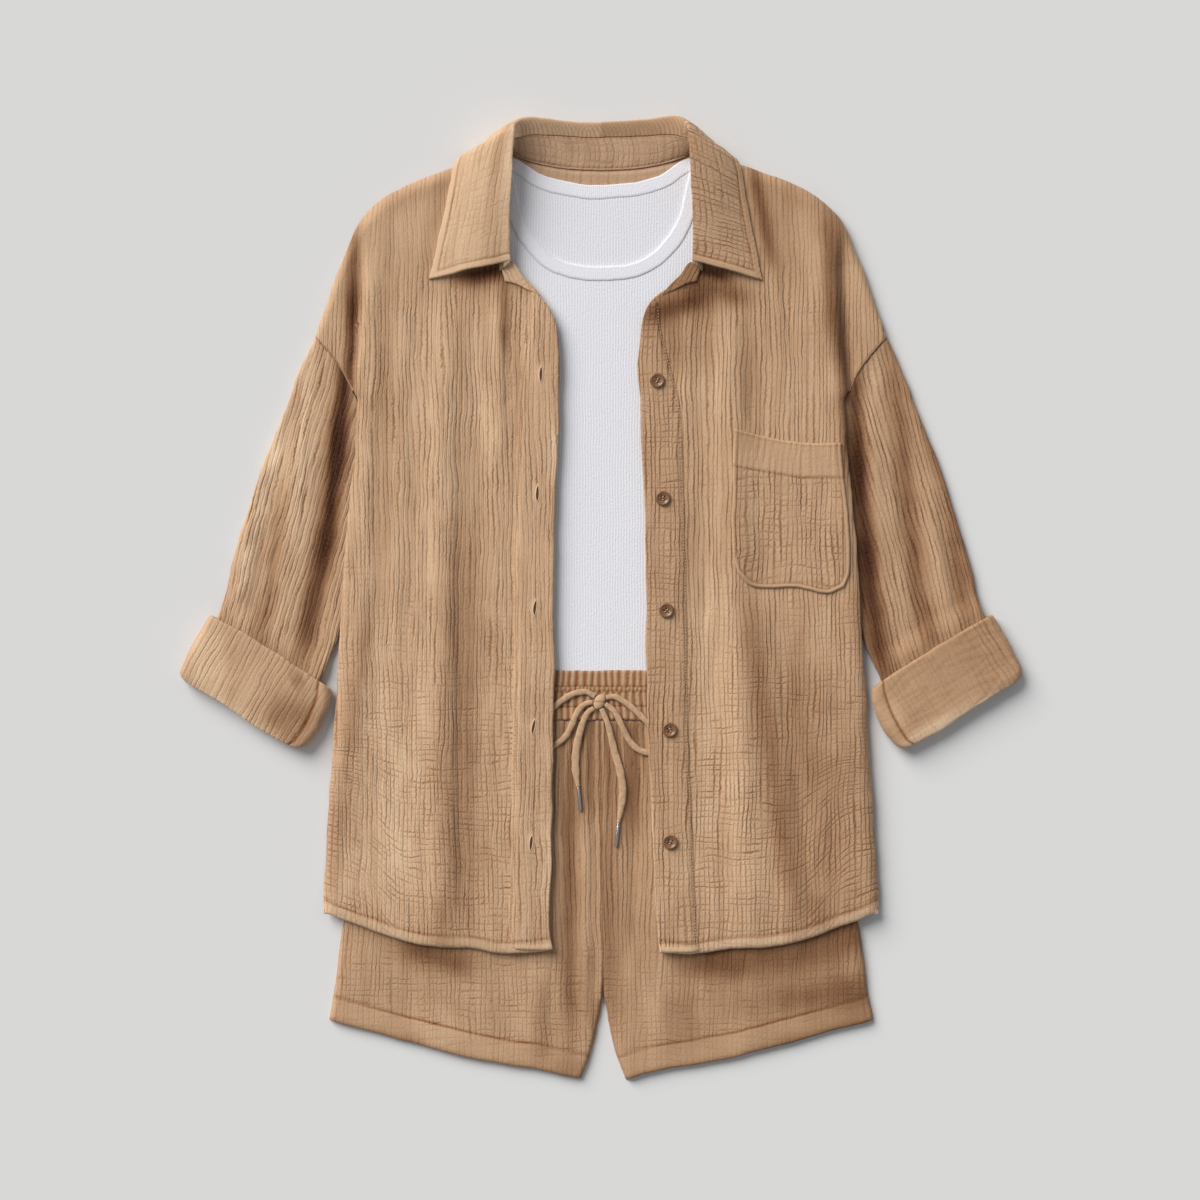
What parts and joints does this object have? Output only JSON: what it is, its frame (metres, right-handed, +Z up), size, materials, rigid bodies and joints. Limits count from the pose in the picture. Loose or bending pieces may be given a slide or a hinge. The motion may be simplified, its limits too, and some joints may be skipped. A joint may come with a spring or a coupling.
{
  "type": "shorts set laid flat",
  "caption": "Crinkled gauze shorts set laid flat on its back: open long-collared shirt with turned-up sleeves, ribbed tank top and drawstring shorts.",
  "frame": {"origin": "on the surface that the set lies on, under the middle of its outline", "axes": "+X towards the wearer's left, +Y towards the collar, +Z up from the surface"},
  "size_m": [0.8372, 0.9611, 0.0333],
  "materials": {
    "gauze": "matte crinkled double gauze",
    "jersey": "fine matte rib",
    "button": "satin horn look",
    "cord": "matte gauze tube",
    "tip": "satin"
  },
  "bodies": {
    "root": {"shirt_back": "gauze", "shirt_front_right": "gauze", "shirt_front_left": "gauze", "buttonhole_band": "gauze", "button_band": "gauze", "chest_pocket": "gauze", "collar_stand": "gauze", "collar": "gauze", "sleeve_right": "gauze", "sleeve_left": "gauze", "cuff_right": "gauze", "cuff_left": "gauze", "shorts_front_right": "gauze", "shorts_front_left": "gauze", "shorts_back_right": "gauze", "shorts_back_left": "gauze", "waistband": "gauze", "button_1": "button", "button_2": "button", "button_3": "button", "button_4": "button", "button_5": "button", "tank_back": "jersey", "tank_front": "jersey", "tank_back_binding": "jersey", "tank_front_binding": "jersey", "drawstring_loop_right": "cord", "drawstring_loop_left": "cord", "drawstring_end_right": "cord", "drawstring_end_left": "cord", "drawstring_knot": "cord", "aglet_right": "tip", "aglet_left": "tip"}
  },
  "joints": []
}
